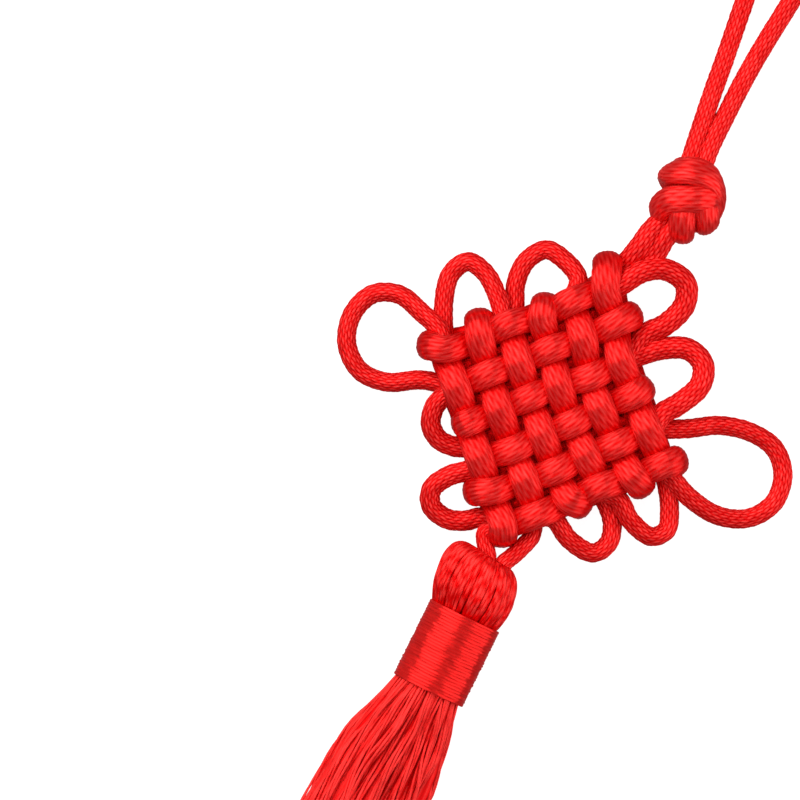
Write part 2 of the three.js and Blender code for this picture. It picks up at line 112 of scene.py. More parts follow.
# How far each crossing on the front sits off the even lattice, [right, up] in the photograph's directions
CELL_SHIFTS = {
    (1, 1): [0.0, 0.4], (2, 1): [0.6, 0.1], (3, 1): [0.25, 0.5], (4, 1): [0.35, -0.25], (5, 1): [0.2, 0.25],
    (6, 1): [0.3, 0.0], (1, 2): [0.15, 0.0], (2, 2): [0.25, 0.2], (3, 2): [0.0, -0.05], (4, 2): [0.0, 0.1],
    (5, 2): [0.0, -0.15], (6, 2): [0.0, 0.1], (1, 3): [0.1, 0.0], (2, 3): [0.0, 0.0], (3, 3): [-0.15, 0.0],
    (4, 3): [-0.6, 0.0], (5, 3): [-0.6, -0.6], (6, 3): [-0.8, -0.2], (1, 4): [0.0, 0.0],
    (2, 4): [0.4, -0.5], (3, 4): [-0.1, -0.2], (4, 4): [-0.3, -0.4], (5, 4): [-0.85, 0.0],
    (6, 4): [-0.5, 0.0], (1, 5): [0.0, 0.2], (2, 5): [0.25, 0.0], (3, 5): [0.1, -0.35], (4, 5): [-0.1, 0.0],
    (5, 5): [-0.25, -0.25], (6, 5): [-0.4, 0.0], (1, 6): [0.0, 0.3], (2, 6): [0.2, 0.05],
    (3, 6): [0.35, 0.35], (4, 6): [0.25, 0.5], (5, 6): [0.25, 0.1], (6, 6): [0.0, 0.0],
}
# The same for the middles of the turns, by strand
COLUMN_TURN_SHIFTS = [[-0.75, 0.8], [0.6, 0.35], [0.65, 1.5], [1.2, -0.5], [0.4, 0.95], [1.0, 1.3]]
ROW_TURN_SHIFTS = [[0.2, 1.3], [0.0, 0.2], [1.5, 0.6], [-1.1, 0.0], [0.0, 0.8], [-0.3, -0.25]]

# Ears, from slot to slot: stations are [along the edge, out from it], from half way between the slots. One
# that rises starts below the weave's middle and ends above it, and droop is how far its own middle sags.
EARS = [
    {"from": ("top", 1), "to": ("left", 2), "rises": -1, "droop": 1.7, "stations": [
        [-3.9, 1.6], [-5.0, 4.6], [-5.9, 8.0], [-4.6, 11.1], [-1.3, 12.4], [2.4, 11.5], [4.8, 8.6],
        [4.7, 4.9], [2.6, 1.0]]},
    {"from": ("top", 1), "to": ("top", 3), "rises": 1, "droop": 0.6, "stations": [
        [-3.3, 0.2], [-2.0, 3.8], [-0.2, 6.5], [2.3, 7.25], [3.9, 5.2], [4.4, 2.0], [4.3, -0.2]]},
    {"from": ("top", 3), "to": ("top", 5), "rises": 1, "droop": 0.6, "stations": [
        [-2.5, -0.3], [-1.5, 2.2], [0.6, 4.5], [3.5, 5.1], [5.3, 3.0], [6.1, 0.3]]},
    {"from": ("right", 1), "to": ("right", 3), "rises": -1, "droop": 0.0, "width": 2.8, "stations": [
        [-4.4, 0.2], [-4.9, 3.6], [-4.1, 6.3], [-1.6, 8.0], [0.8, 7.0], [2.3, 3.9], [2.6, 0.6]]},
    {"from": ("right", 3), "to": ("right", 5), "rises": 1, "droop": 0.6, "width": 2.8, "stations": [
        [-4.6, -0.3], [-4.3, 2.8], [-3.0, 5.8], [-0.6, 6.8], [1.7, 5.5], [2.9, 2.2], [3.3, -0.3]]},
    {"from": ("right", 5), "to": ("bottom", 6), "rises": 1, "droop": 1.9, "stations": [
        [-4.0, 1.3], [-5.9, 4.5], [-6.8, 8.6], [-6.2, 12.0], [-3.8, 14.3], [-0.1, 14.8], [3.0, 12.8],
        [4.4, 9.2], [3.9, 5.0], [2.5, 1.8]]},
    {"from": ("bottom", 4), "to": ("bottom", 6), "rises": -1, "droop": 0.6, "stations": [
        [-2.3, -0.3], [-1.7, 2.8], [0.1, 5.5], [2.2, 5.35], [3.5, 2.7], [4.0, 0.3]]},
    {"from": ("bottom", 2), "to": ("bottom", 4), "rises": -1, "droop": 0.6, "stations": [
        [-2.2, -0.9], [-1.2, 2.1], [1.1, 4.7], [3.4, 4.1], [4.6, 1.9], [4.7, -0.3]]},
    {"from": ("left", 2), "to": ("left", 4), "rises": -1, "droop": 0.4, "width": 2.55, "stations": [
        [-4.3, -1.4], [-3.5, 0.7], [-1.5, 2.15], [0.7, 1.9], [2.3, 0.3], [3.1, -1.2]]},
    {"from": ("left", 4), "to": ("left", 6), "rises": -1, "droop": 0.5, "width": 2.55, "stations": [
        [-3.7, -0.8], [-3.9, 1.9], [-3.2, 4.5], [-1.3, 5.4], [0.9, 4.3], [2.0, 2.4], [2.6, -0.3]]},
]

# Button knot: closed bands, in the photograph's directions from the knot's middle
BUTTON_PLACE = (3.6, 30.9, 4.5)
BUTTON_WIDTHS = {"upper": 4.8, "middle": 3.6, "lower": 3.4, "side": 3.3}
BUTTON_THICKNESS = 2.5
BUTTON_BANDS = {
    "upper": [[-1.4, 3.55, 1.8], [0.2, 3.6, 2.9], [2.5, 2.8, 2.2], [3.45, 0.9, 0.2], [2.7, -0.9, -2.1],
              [0.2, 1.0, -3.2], [-1.3, 2.9, -1.9], [-1.6, 3.6, 0.1]],
    "middle": [[-3.6, -1.3, 0.2], [-2.4, -0.2, 2.6], [0.1, 0.0, 3.45], [2.2, 0.0, 2.7], [2.9, -0.6, 0.4],
               [1.8, -2.2, -2.2], [-0.6, -2.5, -3.0], [-3.0, -1.9, -1.9]],
    "lower": [[-0.8, -2.0, 2.6], [-0.9, -3.7, 1.6], [-0.9, -4.3, -0.2], [-0.8, -3.4, -2.0],
              [-1.2, 0.4, -3.3], [-1.0, 3.2, -2.3], [-0.4, 4.2, 0.0], [-0.2, 2.6, 1.4], [-0.4, 0.2, 1.9]],
    "side": [[2.2, -1.3, 2.4], [2.4, -2.7, 1.3], [2.3, -3.0, -0.3], [1.6, -2.0, -1.8], [1.2, 0.6, -2.0],
             [1.4, 2.6, -0.6], [1.6, 1.6, 1.0]],
}

# Free runs, as [x, y, height]
LOOP_ROUTE = [
    [1.9, 33.5, 4.3], [1.5, 36.4, 4.1], [0.6, 43.1, 2.4], [-0.2, 50.0, LIE], [-1.1, 57.0, LIE],
    [-2.6, 70.0, LIE], [-4.1, 84.0, LIE], [-4.7, 96.0, LIE], [-3.4, 106.0, LIE], [1.1, 110.6, LIE],
    [5.8, 106.4, LIE], [7.6, 96.5, LIE], [7.0, 84.0, LIE], [5.4, 70.0, LIE], [4.1, 58.0, LIE],
    [3.4, 50.0, LIE], [3.2, 43.3, 2.4], [3.25, 37.0, 4.1], [3.9, 33.5, 4.3],
]
TOP_LEFT_ROUTE = [[-1.7, 16.6, 2.6], [-0.1, 19.6, 2.9], [0.7, 22.6, 4.0], [1.2, 25.4, 4.2], [2.4, 28.4, 4.3]]
TOP_RIGHT_ROUTE = [[0.7, 17.9, 2.3], [2.0, 20.2, 2.5], [2.9, 22.9, 3.6], [3.1, 25.5, 4.4], [3.6, 28.6, 4.4]]
TOP_WIDTH = 2.75
BIGHT_ROUTE = [
    [-0.7, -17.6, 4.5], [0.1, -19.1, 4.6], [1.0, -20.4, 4.7], [1.3, -22.0, 4.8], [1.0, -24.0, 4.8],
    [2.3, -25.8, 4.8], [3.6, -24.0, 4.8], [3.0, -22.0, 4.7], [2.95, -20.3, 4.5], [3.75, -18.5, 4.1],
    [4.3, -17.0, 3.7], [4.7, -15.4, 3.3],
]
BIGHT_WIDTH = 2.2

# Tassel: its axis, and the places of its binding
AXIS_X = 1.6
AXIS_HEIGHT = 4.708
HEAD_TOP = -20.2
BINDING_TOP = -28.0
BINDING_BOTTOM = -38.4

# The hank's head, with the thread bundles that show and a layer under them. Each layer's relief is its
# painted light: the layer under is painted darker, as shade.
HEAD_PROFILE = [  # rings, by how far they lie below the top, with the x of their centres
    {"down": 1.9, "radius": 0.5, "centre": 2.2},
    {"down": 0.9, "radius": 1.8, "centre": 2.0},
    {"down": 0.0, "radius": 3.1, "centre": 1.1},
    {"down": 0.3, "radius": 4.0, "centre": 0.85},
    {"down": 0.95, "radius": 4.7, "centre": 0.9},
    {"down": 2.2, "radius": 5.15, "centre": 1.0},
    {"down": 4.0, "radius": 5.3, "centre": 1.2},
    {"down": 5.6, "radius": 5.15, "centre": 1.35},
    {"down": 7.2, "radius": 4.65, "centre": 1.5},
    {"down": 8.6, "radius": 4.1, "centre": 1.6},
]
HEAD_TILT = 0.1  # slope of its top, down towards +X
HEAD_FLATTEN = 0.87  # its height as a share of its width
HEAD_THREAD = 0.42
HEAD_STEP = 0.4
HEAD_LAYERS = [
    {"bundles": 17, "threads": 5, "lift": -0.4, "relief": 0.6},
    {"bundles": 60, "threads": 3, "lift": 0.0, "relief": 0.85},
]
HEAD_CROWN = 0.13  # how far a bundle's edges lie below its middle
CROWN_PAINTED_SHADE = 0.45  # and how far they are painted darker, as shade between bundles
HEAD_LUMPS = 0.09  # how far the hank's soft folds rise and fall round it
HEAD_SLANT = 0.12  # radians that a bundle drifts round the head on its way down
HEAD_SLANT_WAVE = 0.08  # and how far that differs from side to side
HEAD_SWING = 0.05  # radians that it swings to and fro
HEAD_WAVER = 0.12  # how far a thread wavers in it, in bundles
# Spreads of the random draws. Across is in bundles and lift in millimetres; a bundle's slant is in radians,
# and a thread's in bundles.
BUNDLE_SPREAD = {"across": 0.2, "slant": 0.02, "lift": 0.04}
THREAD_SPREAD = {"across": 0.05, "slant": 0.35, "lift": 0.04}
# A head thread's light on its way down, dark in the dent and at the binding
HEAD_LIGHT_PLACES = (0, 0.15, 0.4)
HEAD_LIGHT_FALL = (0.7, 0.92)  # the fourth place is drawn from here, and the fifth is the end
HEAD_LIGHT = (0.15, 0.5, 1, 0.9, 0.15)
HEAD_CORE_SIDES = 32
HEAD_CORE_DEPTH = 0.8  # below the threads' middles
HEAD_CORE_DROP = 0.3
HEAD_CORE_FILAMENT = (0.2, 1, 1)  # how its noise is stretched

# Floss threads: light and dark stretches along them, of a length drawn from the range
HEAD_DAPPLE = {"depth": 0.46, "lengths": (1.4, 3.4)}
SKIRT_DAPPLE = {"depth": 0.22, "lengths": (2.5, 6.0)}
HEAD_YARN = {"diameter": HEAD_THREAD, "sides": 6, "twist": 1.2, "dapple": HEAD_DAPPLE}
THREAD = 0.36
SKIRT_YARN = {"diameter": THREAD, "sides": 5, "twist": 1.3, "dapple": SKIRT_DAPPLE}

# The skirt: its shape below the binding, and the locks of threads that fill it
SKIRT_LENGTH = 100
SKIRT_START = -1.5  # its threads start inside the binding
SKIRT_STATIONS = [
    {"down": SKIRT_START, "half_width": 3.7, "half_height": 3.6, "lean": 0},
    {"down": 1.6, "half_width": 4.5, "half_height": 4.0, "lean": -0.2},
    {"down": 5, "half_width": 5.55, "half_height": 4.0, "lean": -0.4},
    {"down": 10, "half_width": 6.65, "half_height": 3.9, "lean": -0.6},
    {"down": 20, "half_width": 7.2, "half_height": 3.7, "lean": -0.75},
    {"down": 40, "half_width": 7.5, "half_height": 3.4, "lean": -0.7},
    {"down": 72, "half_width": 7.8, "half_height": 3.1, "lean": -0.4},
    {"down": SKIRT_LENGTH, "half_width": 8.1, "half_height": 2.9, "lean": 0},
]
SETTLE_LENGTH = 7  # from the skirt's start to where it lies on the floor
LOCKS = 96
LOCK_STEP = 1.3
LOCK_THREADS = 8
LOCK_PITCHES = (25, 60)
LOCK_SPREAD = 0.46  # from a lock's middle to its outer threads
LOCK_REACH = 0.95  # of the skirt's half width, for the outermost middles
LOCK_FREE = 5  # from the binding to where a lock waves freely
# A lock drifts aside, sways and ripples sideways, and heaves and lifts. Lengths are to a wave's radian.
LOCK_LENGTHS = (3.5, 8.0)  # of its sway and heave
LOCK_DRIFT, LOCK_DRIFT_LENGTH = 0.45, 25
LOCK_SWAY, LOCK_RIPPLE, LOCK_RIPPLE_LENGTH = 0.36, 0.13, 1.9
LOCK_HEAVE, LOCK_LIFT, LOCK_LIFT_LENGTH = 0.22, 0.1, 1.7
LOCK_SHORT = 0.018  # share by which the shortest lock falls short
OUTER_SHARE = 0.68  # from here out a lock shows, and is made in full
# Painted light: outer locks are painted lighter the farther out they lie, and the hidden inner ones darker,
# as shade
OUTER_PAINTED_LIGHT, OUTER_PAINTED_LIGHT_GAIN = 0.7, 0.45
INSIDE_LOCK = {"plies": 3, "pitch": 30, "relief": 0.5}
# A lock's threads wander round its middle, come nearer and go farther, and are painted darkest on their
# inner side, as shade
PLY_WANDER, PLY_WANDER_LENGTH = 0.5, 4
PLY_REACH, PLY_REACH_WAVE, PLY_REACH_LENGTHS = 0.85, 0.25, (2, 5)
PLY_LIGHT, PLY_LIGHT_GAIN = 0.72, 0.28
PLY_TONE = 0.25
SWIRL = 0.22  # radians that the locks turn about the skirt's middle on their way down
GOLDEN_TURN = math.pi * (3 - math.sqrt(5))

# The ribbed body inside the skirt
SKIRT_BODY = (0.99, 0.84)  # of the skirt's width and height
SKIRT_RIBS = 110
RIB_LOW = 0.96  # of the body's size, for its deepest rib
# Each rib is painted dark at a random depth in this range, as the shade inside the skirt
RIB_PAINTED_SHADE = (0.2, 0.85)
BODY_START, BODY_SHORT, BODY_STEP = -1.0, 2, 2.5  # it ends short of the skirt's own end

# The binding
BINDING_RADIUS = 4.8
BINDING_TURNS = 27
BINDING_RINGS = 6  # to a turn
BINDING_SIDES = 96
BINDING_RIDGE = 0.05
RIDGE_POWER = 0.7  # under 1, a turn's back is broader than a sine's arch
BINDING_WAVES = [(3, 0.015), (7, 0.025), (11, 0.03)]  # waves round each turn, and their height
BINDING_SWAY = 0.05  # how far the turns sway along the neck
BINDING_HOLE = 0.86  # of its radius, where its ends close in on the floss
BINDING_PAINTED_SHADE = 0.62  # painted shade between turns
BINDING_TONE_STEP = 9  # sets one turn's filaments apart from the next's

random = np.random.default_rng(7)

# The design frame's place in the part's frame
binding_low, binding_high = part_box("tassel_binding")
SHIFT = np.array([
    (binding_low.x + binding_high.x) / 2 / MM - AXIS_X,
    binding_high.y / MM - BINDING_TOP,
    0.0,
])


def unit(vectors):
    return vectors / np.linalg.norm(vectors, axis=-1, keepdims=True)


def spline(route, closed=False, per_span=SPAN_STEPS):
    """Points of a centripetal Catmull-Rom curve through a route."""
    p = np.asarray(route, float)
    first, last = (p[-1:], p[:2]) if closed else (2 * p[:1] - p[1:2], 2 * p[-1:] - p[-2:-1])
    ext = np.vstack([first, p, last])
    t = np.linspace(0, 1, per_span, endpoint=False)[:, None]
    spans = []
    for a, b, c, d in zip(ext, ext[1:], ext[2:], ext[3:]):
        g0, g1, g2 = (math.sqrt(np.linalg.norm(y - x)) for x, y in ((a, b), (b, c), (c, d)))
        start = ((b - a) / g0 - (c - a) / (g0 + g1) + (c - b) / g1) * g1
        end = ((c - b) / g1 - (d - b) / (g1 + g2) + (d - c) / g2) * g1
        spans.append(
            (2 * t**3 - 3 * t**2 + 1) * b + (t**3 - 2 * t**2 + t) * start
            + (3 * t**2 - 2 * t**3) * c + (t**3 - t**2) * end
        )
    spans.append(p[:1] if closed else p[-1:])
    return np.vstack(spans)


def distances(points):
    steps = np.linalg.norm(np.diff(points, axis=0), axis=1)
    return np.concatenate([[0], np.cumsum(steps)])


def spaced(points, step, *columns):
    """A line cut into even steps: distances, points, and any other columns given with them."""
    lengths = distances(points)
    count = max(3, round(lengths[-1] / step)) + 1
    along = np.linspace(0, lengths[-1], count)
    table = np.column_stack([points, *columns])
    cut = np.column_stack([np.interp(along, lengths, table[:, k]) for k in range(table.shape[1])])
    return along, cut[:, :3], *cut[:, 3:].T


class Piece:
    """Tubes gathered into one mesh, with the attributes that the thread materials read."""

    def __init__(self):
        self.places, self.relief, self.tone, self.fibre, self.across = [], [], [], [], []
        self.quads, self.tris, self.count = [], [], 0

    def add_rings(self, places, relief, tone, fibre, closed=False, across=None):
        """places: rings by sides by 3; relief and tone: rings by sides; fibre: rings by sides by 3."""
        if across is None:
            across = unit(np.roll(places, -1, axis=1) - np.roll(places, 1, axis=1))
        rings, sides = places.shape[:2]
        index = self.count + np.arange(rings * sides).reshape(rings, sides)
        here = index if closed else index[:-1]
        ahead = np.roll(index, -1, axis=0) if closed else index[1:]
        quads = np.stack([here, ahead, np.roll(ahead, -1, axis=1), np.roll(here, -1, axis=1)], axis=-1)
        self.quads.append(quads.reshape(-1, 4))
        if not closed:
            for ring in (index[0], index[-1][::-1]):
                half = np.arange(1, (sides - 1) // 2)
                self.quads.append(np.stack(
                    [ring[half], ring[half + 1], ring[sides - half - 1], ring[sides - half]], axis=-1))
                self.tris.append([[ring[0], ring[1], ring[sides - 1]]])
                if sides % 2 == 0:
                    m = sides // 2
                    self.tris.append([[ring[m - 1], ring[m], ring[m + 1]]])
        self.places.append(places.reshape(-1, 3))
        self.relief.append(relief.ravel())
        self.tone.append(tone.ravel())
        self.fibre.append(fibre.reshape(-1, 3))
        self.across.append(across.reshape(-1, 3))
        self.count += rings * sides

    def make(self, name, material, slot, node):
        places = (np.vstack(self.places) + SHIFT) * MM
        quads = np.vstack(self.quads)
        tris = np.vstack(self.tris) if self.tris else np.zeros((0, 3), int)
        mesh = bpy.data.meshes.new(name)
        mesh.vertices.add(len(places))
        mesh.vertices.foreach_set("co", places.ravel())
        corners = np.concatenate([quads.ravel(), tris.ravel()]).astype(np.int32)
        sizes = np.concatenate([np.full(len(quads), 4), np.full(len(tris), 3)])
        starts = np.concatenate([[0], np.cumsum(sizes)[:-1]]).astype(np.int32)
        mesh.loops.add(len(corners))
        mesh.loops.foreach_set("vertex_index", corners)
        mesh.polygons.add(len(sizes))
        mesh.polygons.foreach_set("loop_start", starts)
        mesh.polygons.foreach_set("use_smooth", np.ones(len(sizes), bool))
        mesh.update(calc_edges=True)
        # relief holds each point's painted light and shade, which the materials' ramp turns into colour
        for key, kind, values in (
            ("relief", "FLOAT", np.concatenate(self.relief)),
            ("tone", "FLOAT", np.concatenate(self.tone)),
            ("fibre", "FLOAT_VECTOR", np.vstack(self.fibre).ravel()),
            ("across", "FLOAT_VECTOR", np.vstack(self.across).ravel()),
        ):
            field = "vector" if kind == "FLOAT_VECTOR" else "value"
            mesh.attributes.new(key, kind, "POINT").data.foreach_set(field, values.astype(np.float32))
        mesh.materials.append(material)
        obj = bpy.data.objects.new(name, mesh)
        bpy.context.scene.collection.objects.link(obj)
        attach(obj, "root")
        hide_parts(node)


def tangents(points, closed=False):
    if closed:
        return unit(np.roll(points, -1, axis=0) - np.roll(points, 1, axis=0))
    return unit(np.gradient(points, axis=0))


def round_section(angle, squareness):
    """A unit circle, or a squarer oval where squareness is over 0."""
    power = 1 / (1 + squareness)
    c, s = np.cos(angle), np.sin(angle)
    return np.sign(c) * np.abs(c) ** power, np.sign(s) * np.abs(s) ** power


def stitch_relief(share, tone):
    """Height along a wale's stitches, 0 to about 1: on their backs, and in the slit beside them."""
    arch = np.sin(np.pi * share)
    back = (STITCH_END + (1 - STITCH_END) * arch ** STITCH_POWER) * (STITCH_LOW + STITCH_RANGE * tone)
    slit = SLIT_RISE * (1 - np.clip(SLIT_SPREAD * arch - SLIT_FLOOR, 0, 1))
    return back, slit


def cord(piece, along, points, side, width, height, kind=BRAID, twist=0.0, closed=False, painted_shade=1.0):
    """A braided cord swept along points: side is the way of its width, and the painted shade darkens it at
    each point.
    """
    rise = unit(np.cross(side, tangents(points, closed)))
    wales, per_wale = kind["wales"], kind["points"]
    odd = np.arange(wales) % 2
    wale = np.repeat(np.arange(wales), per_wale)
    place = np.tile(np.arange(per_wale) / per_wale, wales)
    phase = along[:, None] / kind["stitch"] + 0.5 * odd
    phase = phase + random.normal(0, STITCH_JITTER, wales) + random.uniform(0, 1)
    share, number = np.mod(phase, 1), np.floor(phase).astype(int)
    stitch_tone = random.uniform(0, 1, (wales, number.max() + 2))
    tone = stitch_tone[np.arange(wales), number]
    back, slit = stitch_relief(share, tone)
    lean = kind["slant"] * (share - 0.5) * np.where(odd == 0, 1, -1)
    valley = (place == 0)[None, :]
    lean_here, lean_before = lean[:, wale], lean[:, (wale - 1) % wales]
    shift = np.where(valley, (lean_here + lean_before) / 2, lean_here)
    relief = back[:, wale] * np.sin(np.pi * place)[None, :] ** WALE_POWER
    relief = np.where(valley, slit[:, wale], relief)
    wound = 2 * np.pi * (wale + place + shift) / wales
    across, up = round_section(wound + twist * along[:, None], kind["squareness"])
    lift = kind["depth"] * (relief - MEAN_RELIEF)
    half_width, half_height = np.asarray(width)[..., None] / 2, np.asarray(height)[..., None] / 2
    x, y = across * (half_width + lift), up * (half_height + lift)
    places = points[:, None, :] + x[..., None] * side[:, None, :] + y[..., None] * rise[:, None, :]
    fibre = wound_fibre(along, half_width, wound)
    # Painted light: dark in the slits as shade, rising to the painted highlight on the crests, times the
    # kind's shade and the painted shade given
    relief = kind["shade"] * np.reshape(painted_shade, (-1, 1)) * (1 - kind["slit_shade"] * (1 - relief))
    piece.add_rings(places, relief, tone[:, wale], fibre, closed)


def wound_fibre(along, radius, wound):
    """Where the filament noise is read: along the thread, and round it as its filaments wind."""
    length = np.broadcast_to(along[:, None] + random.uniform(0, NOISE_START), wound.shape)
    return np.stack([length, radius * np.cos(wound), radius * np.sin(wound)], axis=-1)


def flat_side(points):
    """The level way across a run that keeps its back up."""
    return unit(np.cross(tangents(points), [0.0, 0.0, 1.0]))


# The weave's cells, and each edge's cell at an index, way out, and pitch across it
COLUMN_WAY = np.array([math.cos(COLUMN_STEP_TURN), math.sin(COLUMN_STEP_TURN), 0])
ROW_WAY = np.array([math.cos(ROW_STEP_TURN), math.sin(ROW_STEP_TURN), 0])
MIDDLE_STRAND = (WEAVE + 1) / 2
EDGES = {
    "top": (lambda i: (i, 1), -ROW_WAY, ROW_PITCH),
    "bottom": (lambda i: (i, WEAVE), ROW_WAY, ROW_PITCH),
    "left": (lambda i: (1, i), -COLUMN_WAY, COLUMN_PITCH),
    "right": (lambda i: (WEAVE, i), COLUMN_WAY, COLUMN_PITCH),
}


def weave_point(column, row, height=MIDDLE):
    place = (column - MIDDLE_STRAND) * COLUMN_PITCH * COLUMN_WAY
    place = place + (row - MIDDLE_STRAND) * ROW_PITCH * ROW_WAY
    return place + [0, 0, height]


def shift_of(right_and_up):
    right, up = right_and_up
    return np.array(RIGHT * right + UPWARD * up)


def slot_cell(slot):
    edge, index = slot
    return weave_point(*EDGES[edge][0](index))


def slot_point(slot):
    _, out, pitch = EDGES[slot[0]]
    return slot_cell(slot) + out * pitch / 2


def strand_cells(is_column, index):
    """A strand's cells from its open end to its turn, and the way out over the turn."""
    places = range(1, WEAVE + 1)
    turns_at_end = (index % 2 == 1) if is_column else (index % 2 == 0)
    order = list(places) if turns_at_end else list(places)[::-1]
    cells = [(index, k) if is_column else (k, index) for k in order]
    way = ROW_WAY if is_column else COLUMN_WAY
    return cells, way if turns_at_end else -way


def weave_strand(piece, is_column, index):
    """One strand: in over and under the front, round the edge, and out the same way on the back."""
    cells, out = strand_cells(is_column, index)
    float_width = COLUMN_FLOAT_WIDTH if is_column else ROW_FLOAT_WIDTH
    turn_shift = shift_of((COLUMN_TURN_SHIFTS if is_column else ROW_TURN_SHIFTS)[index - 1])
    lattice = np.array([weave_point(*c) for c in cells])
    front = lattice + [shift_of(CELL_SHIFTS[c]) for c in cells]
    tip = front[-1] + out * (TURN_START + TURN_REACH) + turn_shift
    back = lattice.copy()
    aside = tip - lattice[-1] - out * ((tip - lattice[-1]) @ out)
    for cell, share in zip((-2, -1), BACK_SHARES):
        back[cell] += share * aside
    faces = [weave_face([*front, tip], 1, float_width), weave_face([*back, tip], -1, float_width)]
    over_tip = unit(faces[0]["outward"][-1] + faces[1]["outward"][-1])
    for face in faces:
        face["outward"] += (over_tip - face["outward"]) * face.pop("swell")[:, None]
    run = {key: np.concatenate([faces[0][key], faces[1][key][-2::-1]]) for key in faces[0]}
    sides = unit(np.cross(run["outward"], [0.0, 0.0, 1.0]))
    columns = run["width"], run["height"], run["painted_shade"], sides
    along, points, width, height, painted_shade, *sides = spaced(run["points"], FLOAT_STEP, *columns)
    cord(piece, along, points, unit(np.column_stack(sides)), width, height, FLOAT, FLOAT_TWIST, painted_shade=painted_shade)


def weave_face(middles, face, float_width):
    """One face's run to the tip of the turn, with its way out, width, height and painted shade at each
    point.

    Swell is how far round the turn each point lies, 0 on the weave and 1 at the tip.
    """
    line = spline(middles, per_span=FACE_STEPS)
    cells_end = FACE_STEPS * (WEAVE - 1)
    cell = np.linspace(0, WEAVE - 1, cells_end + 1)
    wave = np.cos(np.pi * (WEAVE - 1 - cell))
    level = np.sign(wave) * np.abs(wave) ** CREST_POWER
    run = line[:cells_end + 1].copy()
    run[:, 2] = MIDDLE + face * ((OUTER + INNER) / 2 + (OUTER - INNER) / 2 * level)
    run_width = float_width * (UNDER_SHARE + (1 - UNDER_SHARE) * (0.5 + 0.5 * wave))
    run_height = np.full(len(run), FLOAT_THICKNESS)
    span = line[cells_end:]
    span_lengths = distances(span)
    turned = np.linspace(0, np.pi / 2, TURN_STEPS + 1)[1:]
    swell = np.sin(turned)
    reach = TURN_START + (span_lengths[-1] - TURN_START) * swell
    bend = np.column_stack([np.interp(reach, span_lengths, span[:, k]) for k in range(3)])
    bend[:, 2] = MIDDLE + face * OUTER * np.cos(turned)
    points = np.vstack([run, bend])
    return {
        "points": points,
        "outward": unit(np.gradient(points * [1, 1, 0], axis=0)),
        "width": np.concatenate([run_width, run_width[-1] + (TURN_WIDTH - run_width[-1]) * swell]),
        "height": np.concatenate([run_height, FLOAT_THICKNESS + (TURN_THICKNESS - FLOAT_THICKNESS) * swell]),
        # Painted shade: darker where the strand passes under, and at the tip of its turn
        "painted_shade": np.concatenate([1 - UNDER_PAINTED_SHADE * (1 - level) / 2, 1 - TIP_PAINTED_SHADE * swell**2]),
        "swell": np.concatenate([np.zeros(len(run)), swell]),
    }


def filler(piece, start, end):
    along, points = spaced(np.array([start, end]), FILLER_STEP)
    even = np.full(len(along), FILLER)
    cord(piece, along, points, flat_side(points), even, even, INNER_PASS)


def ear(piece, plan):
    first, last = slot_point(plan["from"]), slot_point(plan["to"])
    out = unit(EDGES[plan["from"][0]][1] + EDGES[plan["to"][0]][1])
    edge = np.array([-out[1], out[0], 0])
    if (last - first) @ edge < 0:
        edge = -edge
    base = (first + last) / 2
    route = [slot_cell(plan["from"])]
    route += [base + edge * a + out * o for a, o in plan["stations"]]
    route.append(slot_cell(plan["to"]))
    turn = np.linspace(0, np.pi, len(route))
    route = np.array(route)
    route[:, 2] = MIDDLE - plan["rises"] * INNER * np.cos(turn) - plan["droop"] * np.sin(turn)
    free_cord(piece, route, plan.get("width", CORD))


def free_cord(piece, route, width):
    points = spline(route)
    points[:, 2] = np.maximum(points[:, 2], width / 2)
    along, points = spaced(points, RING_STEP)
    even = np.full(len(along), width)
    twist = random.uniform(-FREE_TWIST, FREE_TWIST)
    cord(piece, along, points, flat_side(points), even, even, twist=twist)


def button_band(piece, band, turn, middle):
    """A closed band that keeps its back away from the button knot's middle."""
    points = spline(np.array(BUTTON_BANDS[band]) @ turn.T + middle, closed=True)
    along, points = spaced(points, RING_STEP)
    along, points = along[:-1], points[:-1]
    side = unit(np.cross(tangents(points, closed=True), unit(points - middle)))
    even = np.ones(len(along))
    width, height = BUTTON_WIDTHS[band] * even, BUTTON_THICKNESS * even
    cord(piece, along, points, side, width, height, FLOAT, closed=True)


def button_knot(piece):
    c, s = math.cos(ROLL), math.sin(ROLL)
    turn = np.array([[c, -s, 0], [s, c, 0], [0, 0, 1]])
    for band in BUTTON_BANDS:
        button_band(piece, band, turn, np.array(BUTTON_PLACE))


def smooth_column(stations, key, down):
    """A station column read on a smooth curve through its rows."""
    route = spline([[s["down"], s[key], 0] for s in stations], per_span=COLUMN_STEPS)
    return np.interp(down, route[:, 0], route[:, 1])


def yarn(piece, points, relief, tone, diameter, sides, twist, dapple):
    """A thin thread whose filaments wind round it, twist radians to the millimetre."""
    along = distances(points)
    side = flat_side(points)
    rise = unit(np.cross(side, tangents(points)))
    angle = 2 * np.pi * np.arange(sides) / sides
    x = np.broadcast_to(diameter / 2 * np.cos(angle), (len(points), sides))
    y = np.broadcast_to(diameter / 2 * np.sin(angle), (len(points), sides))
    places = points[:, None, :] + x[..., None] * side[:, None, :] + y[..., None] * rise[:, None, :]
    fibre = wound_fibre(along, diameter / 2, angle[None, :] + twist * along[:, None])
    wave = 2 * np.pi * along / random.uniform(*dapple["lengths"]) + random.uniform(0, 2 * np.pi)
    relief = relief * (1 + dapple["depth"] * np.sin(wave))
    relief = np.broadcast_to(np.reshape(relief, (-1, 1)), x.shape)
    piece.add_rings(places, relief, np.full(x.shape, tone), fibre)


